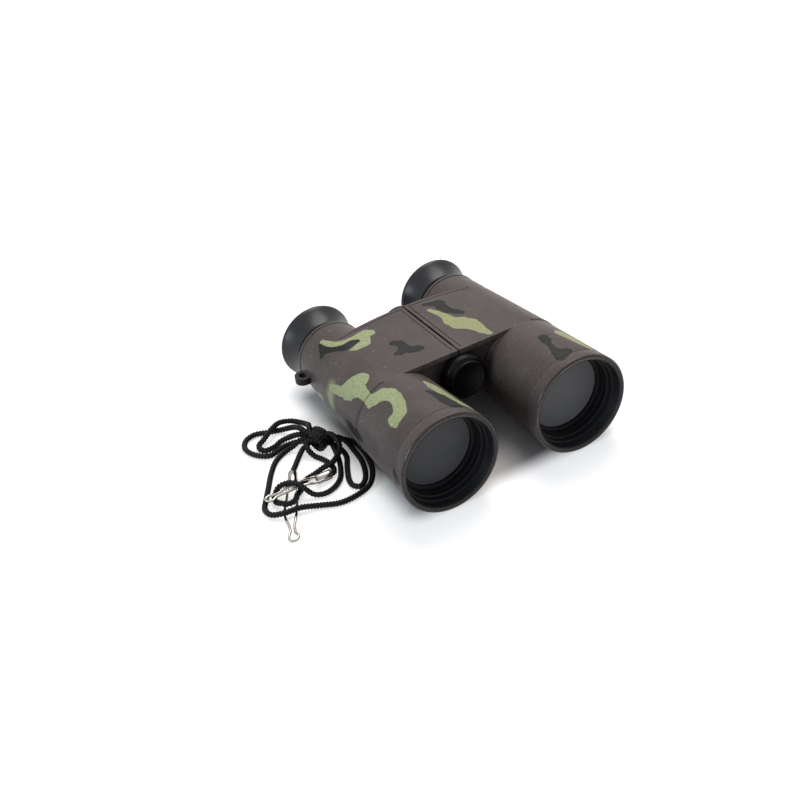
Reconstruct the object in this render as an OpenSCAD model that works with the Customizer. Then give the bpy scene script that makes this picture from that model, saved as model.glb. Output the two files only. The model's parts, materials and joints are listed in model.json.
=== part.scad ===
// Folding binoculars with individually focused eyepieces and a loose neck cord.
// The parts are drawn in the barrels' own frame: x across, y from the front rims
// to the eyecups, z up from the barrel axes. seat() sets that frame on the table,
// where the instrument leans back a little on its front rims and its eyecups.

/* [Barrels] */
// Distance between the two barrel axes, laid flat
axis_gap = 60; // [59:0.5:62]
// Radius of the objective rim
rim_r = 21.6; // [21.5:0.1:22]
// Length of the objective tube in front of the housing
tube_len = 39.3; // [38:0.5:41]
// Radius of the housing at its front edge
house_front_r = 19.4; // [19.3:0.1:19.6]
// Radius of the housing at its rear end
house_rear_r = 14.9; // [14.8:0.1:15.2]
// Distance from the front rim to the housing's rear end
house_end = 98; // [97:0.5:99]
// Wall of the moulded shells
wall = 1.6; // [1.4:0.1:1.7]

/* [Bridge] */
// Height of the flat top above the barrel axes
plate_z = 18.6; // [18.4:0.1:18.8]
// Length of the top plates from the housing's front edge
plate_len = 44.3; // [44:0.1:45]
// Thickness of the top plates
plate_t = 2; // [1.8:0.1:2.2]
// Height of the hinge axle above the barrel axes
axle_z = 7.2; // [7:0.1:7.4]
// Radius of the hinge axle
axle_r = 3; // [2.5:0.1:3.2]
// Radius of the hinge knuckles
knuckle_r = 6.5; // [6:0.1:6.5]
// How far the halves fold about the axle
fold_deg = 30; // [20:1:30]
// Radius of the front hinge cap
cap_r = 9.8; // [9:0.1:9.9]
// Radius of the rear hinge knob
knob_r = 8.4; // [8:0.1:8.8]

/* [Objectives] */
// Depth of the lens behind the rim
lens_depth = 11.8; // [11:0.1:12]
// Clear radius of the objective lens
lens_r = 16.3; // [16:0.1:16.6]

/* [Eyepieces] */
// Radius of the sliding eyepiece cell
cell_r = 11.7; // [11.5:0.1:11.8]
// Radius of the eyecup rim
cup_r = 16.55; // [16:0.05:16.8]
// Distance from the front rim to the eyecup rim
cup_end = 111.8; // [111:0.2:112.4]
// Focusing travel of each eyepiece
focus_travel = 4; // [3:0.5:4]

/* [Neck cord] */
// Diameter of the braided cord
cord_d = 2.3; // [2:0.1:2.4]
// Bore of the strap lug
lug_bore_r = 1.9; // [1.7:0.1:2]
// Outer radius of the strap lug
lug_r = 3.7; // [3.5:0.1:3.9]

/* [Hidden] */
$fn = 96;
eps = 0.01;

half_gap = axis_gap / 2;
plate_end = tube_len + plate_len;
tube_rear_r = house_front_r - 0.3;
// the lean that brings the front rim and the eyecup rim onto one table
lean = atan((rim_r - cup_r) / cup_end);
lift = rim_r * cos(lean);
front_y = -rim_r * sin(lean);
rear_y = cup_end * cos(lean) + cup_r * sin(lean);
// bridge
run = 0.05;
apart = 0.3;
split_gap = 0.3;
notch_deg = fold_deg / 2 + 2;
web_z = -7;
web_t = 2;
wall_front = tube_len + 2;
wall_rear = plate_end - 4;
wall_t = 2;
knuckle_front = 51;
knuckle_rear = 72;
post_r = 3;
post_x = 7.6;
left_posts = [45.8, 77.1];
right_posts = [56, 67];
screw_r = 1.1;
head_r = 2.2;
spigot_r = house_front_r - wall - 0.05;
spigot_len = 6.7;
sleeve_front = 86;
lug_y = 88.3;
lug_x = house_rear_r + 2.75;
lug_h = 1.5;
rear_sag = 2.3;

brown = [0.33, 0.29, 0.27];
black = [0.07, 0.07, 0.075];
lens_grey = [0.2, 0.2, 0.22];
steel = [0.75, 0.74, 0.72];

// ---- placing -------------------------------------------------------------
module seat() {
  translate([0, -(front_y + rear_y) / 2, lift]) rotate([-lean, 0, 0]) children();
}
module side(s) {
  mirror([s < 0 ? 1 : 0, 0, 0]) children();
}
module on_barrel(s) {
  seat() translate([s * half_gap, 0, 0]) children();
}
module on_axle() {
  translate([0, 0, axle_z]) children();
}
// turns a profile of [radius, y] points round the y axis
module turned(profile) {
  rotate([-90, 0, 0]) rotate_extrude() polygon(profile);
}
module rod(r, y0, y1) {
  translate([0, y0, 0]) rotate([-90, 0, 0]) cylinder(r = r, h = y1 - y0);
}
module span(x0, x1, y0, y1, z0, z1) {
  translate([x0, y0, z0]) cube([x1 - x0, y1 - y0, z1 - z0]);
}

// ---- housing halves, drawn for the right-hand side --------------------------
function house_r(y) =
  house_front_r + (house_rear_r - house_front_r) * (y - tube_len) / (house_end - tube_len);

module house_cone() {
  turned([
    [0, tube_len], [house_front_r - 0.3, tube_len], [house_front_r, tube_len + 0.4],
    [house_r(house_end - 2), house_end - 2], [house_r(house_end - 2) + 0.25, house_end - 1.7],
    [house_rear_r + 0.25, house_end - 0.3], [house_rear_r, house_end], [0, house_end]
  ]);
}
module house_cavity() {
  turned([
    [0, tube_len - 1], [spigot_r + run, tube_len - 1], [spigot_r + run, tube_len + spigot_len + 0.3],
    [house_r(tube_len + spigot_len) - wall - 0.3, tube_len + spigot_len + 0.3],
    [house_r(96) - wall, 96], [cell_r + 1.5, 96], [cell_r + 1.5, sleeve_front],
    [cell_r + run, sleeve_front], [cell_r + run, house_end + 1], [0, house_end + 1]
  ]);
}
// the top surface: flat at the front, falling away beside the barrel at the rear
module plate_block(drop = 0) {
  top = plate_z - drop;
  hull() {
    span(0, half_gap + 5, tube_len, tube_len + 0.1, 10, top);
    translate([0, plate_end, 0]) rotate([90, 0, 0]) linear_extrude(height = 0.1)
      polygon(concat([[0, 10]], [[half_gap + 2, 10]],
        [for (i = [8:-1:0]) let (x = i * (half_gap + 2) / 8)
          [x, top - 0.4 - rear_sag * pow(x / half_gap, 2)]]));
  }
}
module notch() {
  // the halves part below the axle so that they can fold
  translate([0, 100, axle_z]) rotate([90, 0, 0]) linear_extrude(height = 80)
    polygon([[-20, 0.01], [0, 0], [30 * tan(notch_deg), -30], [-20, -30]]);
}
module bridge_room() {
  span(2, half_gap, wall_front + wall_t, wall_rear, web_z + web_t, plate_z - plate_t - 1);
}
module house_solid() {
  intersection() {
    translate([half_gap, 0, 0]) house_cone();
    span(0, 80, 0, 120, -40, plate_z);
  }
  plate_block();
}
module bridge_walls() {
  span(split_gap, half_gap, wall_front, wall_front + wall_t, web_z, plate_z - plate_t - 0.6);
  span(split_gap, half_gap, wall_rear, wall_rear + wall_t, web_z, plate_z - plate_t - 0.6);
}
module posts(ys) {
  for (y = ys) translate([post_x, y, 0]) children();
}
// knuckle stretches that belong to this half, and those of the other half
function own_knuckles(s) = s < 0
  ? [[wall_front, knuckle_front], [knuckle_rear, wall_rear + wall_t]]
  : [[knuckle_front + apart, knuckle_rear - apart]];
module plate_outline(s) {
  // the two plates touch only at short tabs at the ends of the parting line
  difference() {
    children();
    span(-1, split_gap / 2, 0, 120, -40, 40);
    span(-1, 0.35, tube_len + 5, plate_end - 5, -40, 40);
  }
}
module plate_frame_line() {
  // a shallow groove that frames the top face along the parting line and the ends
  intersection() {
    difference() {
      translate([0, 0, 1]) plate_block();
      plate_block(0.3);
    }
    union() {
      span(1.9, 2.3, tube_len + 1.7, plate_end - 1.6, 0, 40);
      span(1.9, half_gap + 6, plate_end - 2, plate_end - 1.6, 0, 40);
    }
  }
}
module lug() {
  translate([half_gap + lug_x, lug_y, -lug_h]) cylinder(r = lug_r, h = 2 * lug_h);
}
module lug_hole() {
  translate([half_gap + lug_x, lug_y, -20]) cylinder(r = lug_bore_r, h = 40);
}

module upper_shell(s) {
  ys = s < 0 ? left_posts : right_posts;
  color(brown) seat() side(s) {
    difference() {
      union() {
        plate_outline(s) {
          difference() {
            union() {
              house_solid();
              bridge_walls();
            }
            bridge_clear();
          }
        }
        posts(ys) cylinder(r = post_r, h = plate_z - plate_t - 0.5);
        intersection() {
          on_axle() for (k = own_knuckles(s)) rod(knuckle_r, k[0], k[1]);
          span(-20, 20, 0, 120, 0, 30);
        }
        span(knuckle_r - 1, half_gap - 14, own_knuckles(s)[0][0] + 0.2, own_knuckles(s)[0][1] - 0.2,
          axle_z - 2, axle_z + 2);
        if (s < 0) lug();
      }
      span(-30, 80, 0, 120, -40, 0);
      translate([half_gap, 0, 0]) house_cavity();
      on_axle() rod(s < 0 ? axle_r : axle_r + run, 30, 100);
      on_axle() for (k = own_knuckles(-s)) rod(knuckle_r + apart, k[0] - apart, k[1] + apart);
      difference() {
        notch();
        on_axle() rod(knuckle_r, own_knuckles(s)[0][0], own_knuckles(s)[0][1]);
        on_axle() rod(knuckle_r, own_knuckles(s)[len(own_knuckles(s)) - 1][0],
          own_knuckles(s)[len(own_knuckles(s)) - 1][1]);
      }
      posts(ys) translate([0, 0, -1]) cylinder(r = screw_r, h = 9);
      plate_frame_line();
      if (s < 0) lug_hole();
    }
  }
}
// hollows the block under the plate, outside the barrel and inside the walls
module bridge_clear() {
  difference() {
    union() {
      bridge_room();
      span(-1, half_gap, tube_len - 1, wall_front, -40, plate_z - plate_t);
      span(-1, half_gap, wall_rear + wall_t, plate_end + 1, -40, plate_z - plate_t - 0.5);
    }
    translate([half_gap, 0, 0]) house_cone();
  }
}
module lower_shell(s) {
  ys = s < 0 ? left_posts : right_posts;
  color(brown * 0.95) seat() side(s) {
    difference() {
      union() {
        difference() {
          union() {
            translate([half_gap, 0, 0]) house_cone();
            bridge_walls();
            span(0, half_gap, wall_front, wall_rear + wall_t, web_z, web_z + web_t);
          }
          span(-1, 80, 0, 120, 0, 40);
        }
        posts(ys) translate([0, 0, web_z]) cylinder(r = post_r, h = -web_z);
        if (s < 0) lug();
      }
      span(-30, 80, 0, 120, 0, 40);
      translate([half_gap, 0, 0]) house_cavity();
      notch();
      posts(ys) translate([0, 0, web_z - 1]) cylinder(r = head_r + 0.2, h = 3);
      posts(ys) translate([0, 0, web_z - 1]) cylinder(r = screw_r + 0.2, h = 20);
      if (s < 0) lug_hole();
    }
  }
}
module shell_screws(s) {
  ys = s < 0 ? left_posts : right_posts;
  color(steel) seat() side(s) posts(ys) difference() {
    union() {
      translate([0, 0, web_z + 0.6]) cylinder(r = head_r, h = 1.4);
      translate([0, 0, web_z + 2 - eps]) cylinder(r = screw_r, h = 12);
    }
    for (a = [0, 90]) rotate(a) translate([-1.5, -0.3, web_z]) cube([3, 0.6, 1.2]);
  }
}

// ---- objectives ----------------------------------------------------------
module objective_tube(s) {
  seat_y = lens_depth + 1.1;
  color(brown) on_barrel(s) turned([
    [19.6, 0.5], [20.35, 0.35], [20.5, 0], [21, 0], [rim_r, 0.7], [rim_r - 0.05, 1.6],
    [rim_r - 0.35, 5.8], [rim_r - 0.55, 5.95], [rim_r - 0.55, 6.15], [rim_r - 0.4, 6.3],
    [tube_rear_r, tube_len], [spigot_r, tube_len], [spigot_r, tube_len + spigot_len],
    [spigot_r - 1.5, tube_len + spigot_len], [spigot_r - 1.5, tube_len], [17.6, seat_y + 2],
    [17.6, seat_y], [19.6, seat_y]
  ]);
}
module objective_liner(s) {
  color(black) on_barrel(s) turned([
    [19.6, 0.6], [19.6, 10.4], [17.15, 10.4], [17.5, 6.4], [18.0, 6.3], [18.35, 4.1],
    [18.9, 4.0], [19.25, 0.6]
  ]);
}
module objective_retainer(s) {
  color(black) on_barrel(s) turned([
    [19.6, 10.4], [19.6, lens_depth], [lens_r, lens_depth], [lens_r, lens_depth - 0.2], [17.15, 10.4]
  ]);
}
module objective_lens(s) {
  color(lens_grey) on_barrel(s) turned(concat(
    [[0, lens_depth + 1.1], [0, lens_depth - 0.5]],
    [for (i = [1:6]) [lens_r * i / 6 - 0.1, lens_depth - 0.5 * (1 - pow(i / 6, 2))]],
    [[19.5, lens_depth], [19.5, lens_depth + 1.1]]
  ));
}

// ---- eyepieces --------------------------------------------------------------
cell_shoulder = house_end + 0.9;
cell_end = 104.3;
module eyepiece_cell(s) {
  color(black) on_barrel(s) turned([
    [7.2, sleeve_front + 0.5], [cell_r - 0.4, sleeve_front + 0.5], [cell_r, sleeve_front + 0.9],
    [cell_r, cell_shoulder], [10.5, cell_shoulder], [10.5, cell_end], [8.4, cell_end],
    [8.4, 100.8], [7.2, 100.8]
  ]);
}
module ocular_lens(s) {
  color(lens_grey) on_barrel(s) turned(concat(
    [[0, 100.8], [8.35, 100.8], [8.35, 103.3], [7.3, 103.3]],
    [for (i = [5:-1:0]) [7.3 * i / 6, 103.3 + 0.9 * (1 - pow(i / 6, 2))]]
  ));
}
module ocular_ring(s) {
  color(black) on_barrel(s) turned([
    [7.5, 103.3], [8.35, 103.3], [8.35, cell_end], [11.4, cell_end], [11.4, 105.1],
    [11.1, 105.4], [8.3, 105.4]
  ]);
}
module eyecup(s) {
  front = cell_shoulder + apart;
  flare = [for (i = [0:8]) let (t = i / 8)
    [12.7 + (cup_r - 0.35 - 12.7) * pow(t, 1.7), 100.4 + (cup_end - 1.9 - 100.4) * t]];
  bowl = [for (i = [0:6]) let (t = i / 6)
    [14.75 - 2.6 * (1 - pow(1 - t, 1.6)), cup_end - 0.6 - 5.2 * t]];
  color(black) on_barrel(s) turned(concat(
    [[10.5 + run, front], [12.3, front], [12.6, front + 0.3]],
    flare,
    [[cup_r, cup_end - 1.2], [cup_r, cup_end - 0.5], [cup_r - 0.5, cup_end], [15.3, cup_end]],
    bowl,
    [[11.75, 105.4], [11.75, cell_end - apart], [10.5 + run, cell_end - apart]]
  ));
}

// ---- hinge --------------------------------------------------------------
cap_front = 33.5;
cap_rear = 39;
knob_front = wall_rear + wall_t + 2.3;
knob_end = 90;
module hinge_axle() {
  color(steel) seat() on_axle() rod(axle_r, cap_front + 2.5, knob_end - 3);
}
module front_cap() {
  color(black) seat() on_axle() difference() {
    turned([
      [0, cap_front], [cap_r - 2, cap_front], [cap_r - 1.7, cap_front + 0.3],
      [cap_r - 1.7, cap_front + 1], [cap_r - 0.9, cap_front + 1.2], [cap_r - 0.3, cap_front + 1.8],
      [cap_r, cap_front + 2.8], [cap_r, cap_rear], [0, cap_rear]
    ]);
    rod(axle_r, cap_front + 2.5, cap_rear + 1);
  }
}
module front_washer() {
  color(black) seat() on_axle() difference() {
    rod(cap_r - 1, cap_rear, cap_rear + 2);
    rod(axle_r + run, cap_rear - 1, cap_rear + 3);
  }
}
module rear_knob() {
  color(black) seat() on_axle() difference() {
    turned([
      [0, knob_front], [knob_r, knob_front], [knob_r, knob_end - 1.5],
      [knob_r - 0.2, knob_end - 0.7], [knob_r - 0.7, knob_end - 0.2], [knob_r - 1.5, knob_end],
      [0, knob_end]
    ]);
    rod(axle_r, knob_front - 1, knob_end - 3);
  }
}
module rear_washer() {
  color(black) seat() on_axle() difference() {
    rod(knob_r - 0.6, knob_front - 2, knob_front);
    rod(axle_r + run, knob_front - 3, knob_front + 1);
  }
}

// ---- neck cord --------------------------------------------------------------
// The cord is tied up in a bundle on the table. Each stretch between the ferrules
// and the bundle's wrapped middle is a list of points in the model's own frame.
knot_at = [-55.4, 7.6, 5.35];
knot_dir = -31;
knot_half = 5.8;
knot_r = 5.3;
from_left_ferrule = [
  [-74.4, -5.1, 2], [-73, -2.5, 2], [-71.7, -0.4, 1.7], [-69.6, 2.2, 1.2], [-66, 6, 1.4],
  [-63, 8.2, 2.4], [-60.2, 9, 3.2]];
outer_loop = [
  [-50.6, 6.2, 3.2], [-46.5, 5.2, 2], [-43, 1.5, 1.2], [-42.4, -5, 1.2], [-43.4, -12.5, 1.2],
  [-46.4, -20.5, 1.2], [-51.2, -26.2, 1.2], [-58, -28.5, 1.2], [-65.5, -28.5, 1.2], [-72.5, -25.5, 1.4],
  [-80, -23, 2.3], [-87, -22, 2.3], [-91, -19, 1.5], [-91.5, -14.5, 1.2], [-88.5, -9.5, 1.2],
  [-84.5, -3.5, 1.2], [-79.5, 4, 1.2], [-74.5, 9.6, 1.2], [-69, 12.6, 1.2], [-65, 12.4, 2.6],
  [-62.5, 11.6, 4.6], [-59.6, 10.1, 5.4]];
inner_ring = [
  [-51.9, 4, 3.2], [-49.6, 0, 1.6], [-49.8, -5, 1.2], [-53, -11.5, 1.2], [-56, -18.5, 1.2],
  [-56, -23.6, 1.2], [-53, -23.8, 1.2], [-48.8, -19.3, 1.2], [-46.2, -11.5, 1.2], [-45.4, -3.5, 1.2],
  [-46, 1, 2.8], [-48.2, 3.6, 4.8], [-51.3, 5.1, 5.4]];
left_loop = [
  [-58.9, 11.2, 7.8], [-59.6, 15.4, 7.4], [-60, 19, 5.8], [-60.8, 23, 3.4], [-63.5, 26, 1.7],
  [-69, 28.6, 1.2], [-74.5, 30.5, 1.2], [-79, 29, 1.2], [-81.4, 25, 1.2], [-81, 20.5, 1.2],
  [-78.5, 16.5, 1.2], [-75, 14.2, 1.2], [-71.5, 14.8, 1.2], [-68, 16, 1.2], [-64.5, 16, 1.2],
  [-61.6, 13.6, 2.4], [-58.9, 11.2, 3.2]];
upper_loop = [
  [-58, 12.6, 5.2], [-61.6, 15.8, 4.6], [-64.5, 18.8, 2.4], [-67.5, 19.6, 1.4], [-70.3, 18.4, 1.2],
  [-72.5, 18, 1.2], [-75, 18.2, 1.2], [-76.6, 20, 1.4], [-76, 22.5, 1.6], [-73, 24, 2.2],
  [-70, 25.2, 3.6], [-66.5, 27, 4.1], [-62.8, 29.4, 3], [-58.5, 28.5, 2.4], [-56, 25, 2.8],
  [-55, 19, 5], [-56.2, 14, 7.6]];
inner_loop = [
  [-53, 3, 5], [-52.6, -0.6, 3.4], [-53.4, -5, 1.8], [-55.4, -10.4, 1.2], [-58.6, -15.8, 1.2],
  [-63.2, -19.2, 1.2], [-68, -20, 1.2], [-71.8, -18.6, 1.8], [-74, -16.5, 4], [-75.6, -14, 5.6],
  [-77.4, -11.6, 5.7], [-79.6, -9.8, 5.1], [-82.3, -8.8, 3.8], [-85, -10, 1.4], [-86, -13, 1.3],
  [-85.2, -16, 2.3], [-82.8, -18.2, 2.3], [-79.8, -18, 2.4], [-77.6, -15.6, 2.4], [-75, -13.5, 1.95],
  [-72.3, -10.1, 1.6], [-69.4, -7.9, 1.2], [-65.5, -7.5, 1.6], [-62, -7.8, 3], [-58, -8, 3.8],
  [-54.5, -6, 4], [-51.6, -3.5, 5], [-50.6, -0.5, 6.6], [-51.5, 4.2, 7.7]];
to_right_ferrule = [
  [-60.8, 8, 5.4], [-61.6, 5.6, 3.6], [-60.4, 2.8, 1.4], [-58.8, -0.5, 1.2], [-57.7, -4, 1.2],
  [-57.6, -8, 1.2], [-58.8, -11, 1.6], [-61, -11.8, 2], [-65, -11.8, 2]];

function unit(v) = v / norm(v);
// one closed tube with a ring of points at each point of the path
module swept(path, d, sides) {
  n = len(path);
  rings = [for (i = [0:n - 1])
    let (h = unit(unit(path[min(i + 1, n - 1)] - path[min(i, n - 2)])
           + unit(path[max(i, 1)] - path[max(i - 1, 0)])),
         across = unit(cross(h, [0, 0, 1])), up = cross(across, h))
    for (j = [0:sides - 1])
      path[i] + d / 2 * (cos(360 * j / sides) * across + sin(360 * j / sides) * up)];
  walls = [for (i = [0:n - 2]) for (j = [0:sides - 1]) let (k = (j + 1) % sides)
    [i * sides + j, i * sides + k, (i + 1) * sides + k, (i + 1) * sides + j]];
  polyhedron(points = rings, faces = concat(
    [[for (j = [sides - 1:-1:0]) j]], walls, [[for (j = [0:sides - 1]) (n - 1) * sides + j]]));
}
module cord(path) {
  color([0.05, 0.05, 0.055]) swept(path, cord_d, 8);
}
module cord_knot() {
  color([0.05, 0.05, 0.055]) translate(knot_at) rotate([0, 0, knot_dir]) rotate([0, 90, 0])
    rotate_extrude() polygon([
      [0, -knot_half], [knot_r - 1.8, -knot_half], [knot_r, -knot_half + 1.5],
      [knot_r, knot_half - 1.5], [knot_r - 1.8, knot_half], [0, knot_half]
    ]);
}

// ---- clips ------------------------------------------------------------------
// Each end of the cord is crimped in a small open-seamed ferrule. A springy wire
// loop with a fish-tail hook runs out of the ferrule to snap through a lug.
ferrule_r = 2;
ferrule_len = 6.5;
wire_d = 1;
left_clip_at = [-73, -2.5, 2];
left_clip_dir = 242;
left_wire = [
  [4, -1.75, 0], [8, -2, -0.6], [12, -2.3, -1.45], [23, -2.9, -1.45], [32, -0.6, -1.45],
  [36.6, -0.9, -1.45], [38, 0.2, -1.45], [35.8, 2.7, -1.45], [32.8, 1.4, -1.45], [21, 1.7, -1.45],
  [12, 1.8, -1.45], [8, 1.9, -0.6], [4, 1.75, 0]];
right_clip_at = [-60.5, -11.8, 2];
right_clip_dir = 180;
right_wire = [
  [4, -1.75, 0], [8, -1.9, 0.6], [12, -1.6, 1.6], [16, -1.2, 1.7], [20, -1.1, 1.5], [24.5, -0.7, 1.1],
  [27, -1.6, 1], [28.9, 0, 0.95], [27, 1.6, 1], [24.5, 0.7, 1.1], [20, 1.1, 1.5], [16, 1.2, 1.7],
  [12, 1.6, 1.6], [8, 1.9, 0.6], [4, 1.75, 0]];
module clip_place(at, dir) {
  translate(at) rotate([0, 0, dir]) children();
}
module ferrule(seam_deg) {
  rotate([seam_deg, 0, 0]) rotate([0, 90, 0]) difference() {
    cylinder(r = ferrule_r, h = ferrule_len, $fn = 48);
    translate([0, 0, -1]) cylinder(r = ferrule_r - 0.6, h = ferrule_len + 2, $fn = 48);
    translate([-5, -0.8, -1]) cube([5, 1.6, ferrule_len + 2]);
  }
}
module left_clip_ferrule() {
  color(steel) clip_place(left_clip_at, left_clip_dir) ferrule(0);
}
module left_clip_wire() {
  color(steel) clip_place(left_clip_at, left_clip_dir) swept(left_wire, wire_d, 8);
}
module right_clip_ferrule() {
  color(steel) clip_place(right_clip_at, right_clip_dir) ferrule(-120);
}
module right_clip_wire() {
  color(steel) clip_place(right_clip_at, right_clip_dir) swept(right_wire, wire_d, 8);
}

upper_shell(-1);  // left_upper_shell
upper_shell(1);  // right_upper_shell
lower_shell(-1);  // left_lower_shell
lower_shell(1);  // right_lower_shell
objective_tube(-1);  // left_objective_tube
objective_tube(1);  // right_objective_tube
objective_liner(-1);  // left_objective_liner
objective_liner(1);  // right_objective_liner
objective_retainer(-1);  // left_objective_retainer
objective_retainer(1);  // right_objective_retainer
objective_lens(-1);  // left_objective_lens
objective_lens(1);  // right_objective_lens
eyepiece_cell(-1);  // left_eyepiece_cell
eyepiece_cell(1);  // right_eyepiece_cell
ocular_lens(-1);  // left_ocular_lens
ocular_lens(1);  // right_ocular_lens
ocular_ring(-1);  // left_ocular_ring
ocular_ring(1);  // right_ocular_ring
eyecup(-1);  // left_eyecup
eyecup(1);  // right_eyecup
hinge_axle();
front_cap();
front_washer();
rear_knob();
rear_washer();
shell_screws(-1);  // left_shell_screws
shell_screws(1);  // right_shell_screws
cord(from_left_ferrule);  // cord_from_left_clip
cord(outer_loop);  // cord_outer_loop
cord(inner_ring);  // cord_inner_ring
cord(left_loop);  // cord_left_loop
cord(upper_loop);  // cord_upper_loop
cord(inner_loop);  // cord_inner_loop
cord(to_right_ferrule);  // cord_to_right_clip
cord_knot();
left_clip_ferrule();
left_clip_wire();
right_clip_ferrule();
right_clip_wire();
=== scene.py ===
import bpy, bmesh, json
from math import sin, cos, radians, pi, atan2
from mathutils import Matrix, Vector

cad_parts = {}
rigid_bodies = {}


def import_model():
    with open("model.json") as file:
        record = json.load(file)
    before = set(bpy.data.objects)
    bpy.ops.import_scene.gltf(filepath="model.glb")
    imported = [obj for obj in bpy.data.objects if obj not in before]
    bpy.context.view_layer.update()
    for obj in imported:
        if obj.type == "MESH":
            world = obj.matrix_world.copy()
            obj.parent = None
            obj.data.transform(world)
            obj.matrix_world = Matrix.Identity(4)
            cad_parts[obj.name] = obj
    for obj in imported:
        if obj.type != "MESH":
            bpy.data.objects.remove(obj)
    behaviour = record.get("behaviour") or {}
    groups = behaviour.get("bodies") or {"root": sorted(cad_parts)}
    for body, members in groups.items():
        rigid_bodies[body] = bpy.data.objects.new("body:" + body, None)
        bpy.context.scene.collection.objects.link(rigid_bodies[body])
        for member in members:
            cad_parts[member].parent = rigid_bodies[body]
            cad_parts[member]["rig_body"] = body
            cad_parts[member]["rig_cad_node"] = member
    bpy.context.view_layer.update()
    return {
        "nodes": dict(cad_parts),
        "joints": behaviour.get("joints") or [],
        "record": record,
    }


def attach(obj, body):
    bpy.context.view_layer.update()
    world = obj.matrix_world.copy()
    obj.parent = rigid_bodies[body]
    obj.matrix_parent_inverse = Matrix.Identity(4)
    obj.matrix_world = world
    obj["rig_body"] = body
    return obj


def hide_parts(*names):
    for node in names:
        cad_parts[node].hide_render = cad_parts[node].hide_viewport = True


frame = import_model()
millimetre = 0.001
joints = {j["name"]: j for j in frame["joints"]}
bodyOf = {n: b for b, nodes in frame["record"]["behaviour"]["bodies"].items() for n in nodes}

# the barrels' own frame: y along the barrels from the front rims, z up from their axes
fromRim = {"left_focus": 92, "fold": 61.5}  # mm along the barrels to each joint's place
barrelAxis = Vector(joints["fold"]["axis"])
barrelLean = atan2(-barrelAxis.z, barrelAxis.y)
leftAxisPoint = Vector(joints["left_focus"]["pos_m"]) - barrelAxis * fromRim["left_focus"] * millimetre
rightAxisPoint = Vector((-leftAxisPoint.x, leftAxisPoint.y, leftAxisPoint.z))
hingeAxisPoint = Vector(joints["fold"]["pos_m"]) - barrelAxis * fromRim["fold"] * millimetre
halfGap = -leftAxisPoint.x / millimetre


def deselectAll():
    if bpy.context.mode != "OBJECT":
        bpy.ops.object.mode_set(mode="OBJECT")
    bpy.ops.object.select_all(action="DESELECT")


def makeActive(piece):
    deselectAll()
    piece.select_set(True)
    bpy.context.view_layer.objects.active = piece


def applyModifier(piece, kind, **settings):
    modifier = piece.modifiers.new(kind.lower(), kind)
    for key, value in settings.items():
        setattr(modifier, key, value)
    makeActive(piece)
    bpy.ops.object.modifier_apply(modifier=modifier.name)


def roundEdges(piece, width, angle=30):
    applyModifier(piece, "BEVEL", width=width, segments=2, limit_method="ANGLE", angle_limit=radians(angle))


def smoothUnder(piece, angle):
    makeActive(piece)
    bpy.ops.object.shade_smooth_by_angle(angle=radians(angle))


def selectFaces(piece, keep):
    # leaves only the faces selected whose centre and normal pass the test
    makeActive(piece)
    bpy.ops.object.mode_set(mode="EDIT")
    bpy.ops.mesh.select_mode(type="FACE")
    bpy.ops.mesh.select_all(action="DESELECT")
    mesh = bmesh.from_edit_mesh(piece.data)
    for face in mesh.faces:
        face.select = bool(keep(face.calc_center_median(), face.normal))
    mesh.select_flush_mode()
    bmesh.update_edit_mesh(piece.data)


cameraSetup = {
    "place": (-0.2250, -0.4032, 0.3540),
    "heading": -26.91,  # degrees from +Y, towards +X
    "down": 37.0,
    "roll": -6.16,
    "lens": 62.1,
    "sensor": 36.0,
}


def addCamera(setup):
    bpy.ops.object.camera_add(location=setup["place"])
    camera = bpy.context.object
    turn = (Matrix.Rotation(radians(setup["heading"]), 4, "Z")
            @ Matrix.Rotation(radians(90 - setup["down"]), 4, "X")
            @ Matrix.Rotation(radians(setup["roll"]), 4, "Z"))
    camera.rotation_euler = turn.to_euler()
    camera.data.lens = setup["lens"]
    camera.data.sensor_width = setup["sensor"]
    bpy.context.scene.camera = camera


addCamera(cameraSetup)
print("camera placed")


# small helpers for shader nodes
def feed(node, feeds):
    for key, value in feeds.items():
        if isinstance(value, bpy.types.NodeSocket):
            node.id_data.links.new(value, node.inputs[key])
        else:
            node.inputs[key].default_value = value
    return node


def addNode(kind, feeds, tree=None, **settings):
    # without a tree of its own, a node joins the one that its first link comes from
    tree = tree or next(v for v in feeds.values() if isinstance(v, bpy.types.NodeSocket)).id_data
    node = tree.nodes.new("ShaderNode" + kind)
    for key, value in settings.items():
        setattr(node, key, value)
    return feed(node, feeds)


def calc(operation, first, second=0.0, third=0.0):
    return addNode("Math", {0: first, 1: second, 2: third}, operation=operation).outputs[0]


def times(first, second):
    return calc("MULTIPLY", first, second)


def awayFrom(value, place):
    return calc("ABSOLUTE", calc("SUBTRACT", value, place))


def vectorCalc(operation, first, second=(0, 0, 0)):
    node = addNode("VectorMath", {0: first, 1: second}, operation=operation)
    return node.outputs["Value" if operation in ("LENGTH", "DOT_PRODUCT", "DISTANCE") else "Vector"]


def scaled(vector, factor):
    return addNode("VectorMath", {0: vector, "Scale": factor}, operation="SCALE").outputs["Vector"]


def part(vector, letter):
    return addNode("SeparateXYZ", {0: vector}).outputs[letter]


def ramp(value, low, high, toLow=0.0, toHigh=1.0):
    return addNode("MapRange", {"Value": value, "From Min": low, "From Max": high,
                                "To Min": toLow, "To Max": toHigh},
                   interpolation_type="SMOOTHSTEP").outputs["Result"]


def fade(value, low, high):
    # one below the low value and nothing above the high one
    return calc("SUBTRACT", 1.0, ramp(value, low, high))


def vary(noise, low, high):
    # noise lies mostly between 0.3 and 0.7
    return ramp(noise, 0.3, 0.7, low, high)


def blendColour(mask, base, over):
    return addNode("Mix", {0: mask, 6: base, 7: over}, data_type="RGBA").outputs[2]


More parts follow.
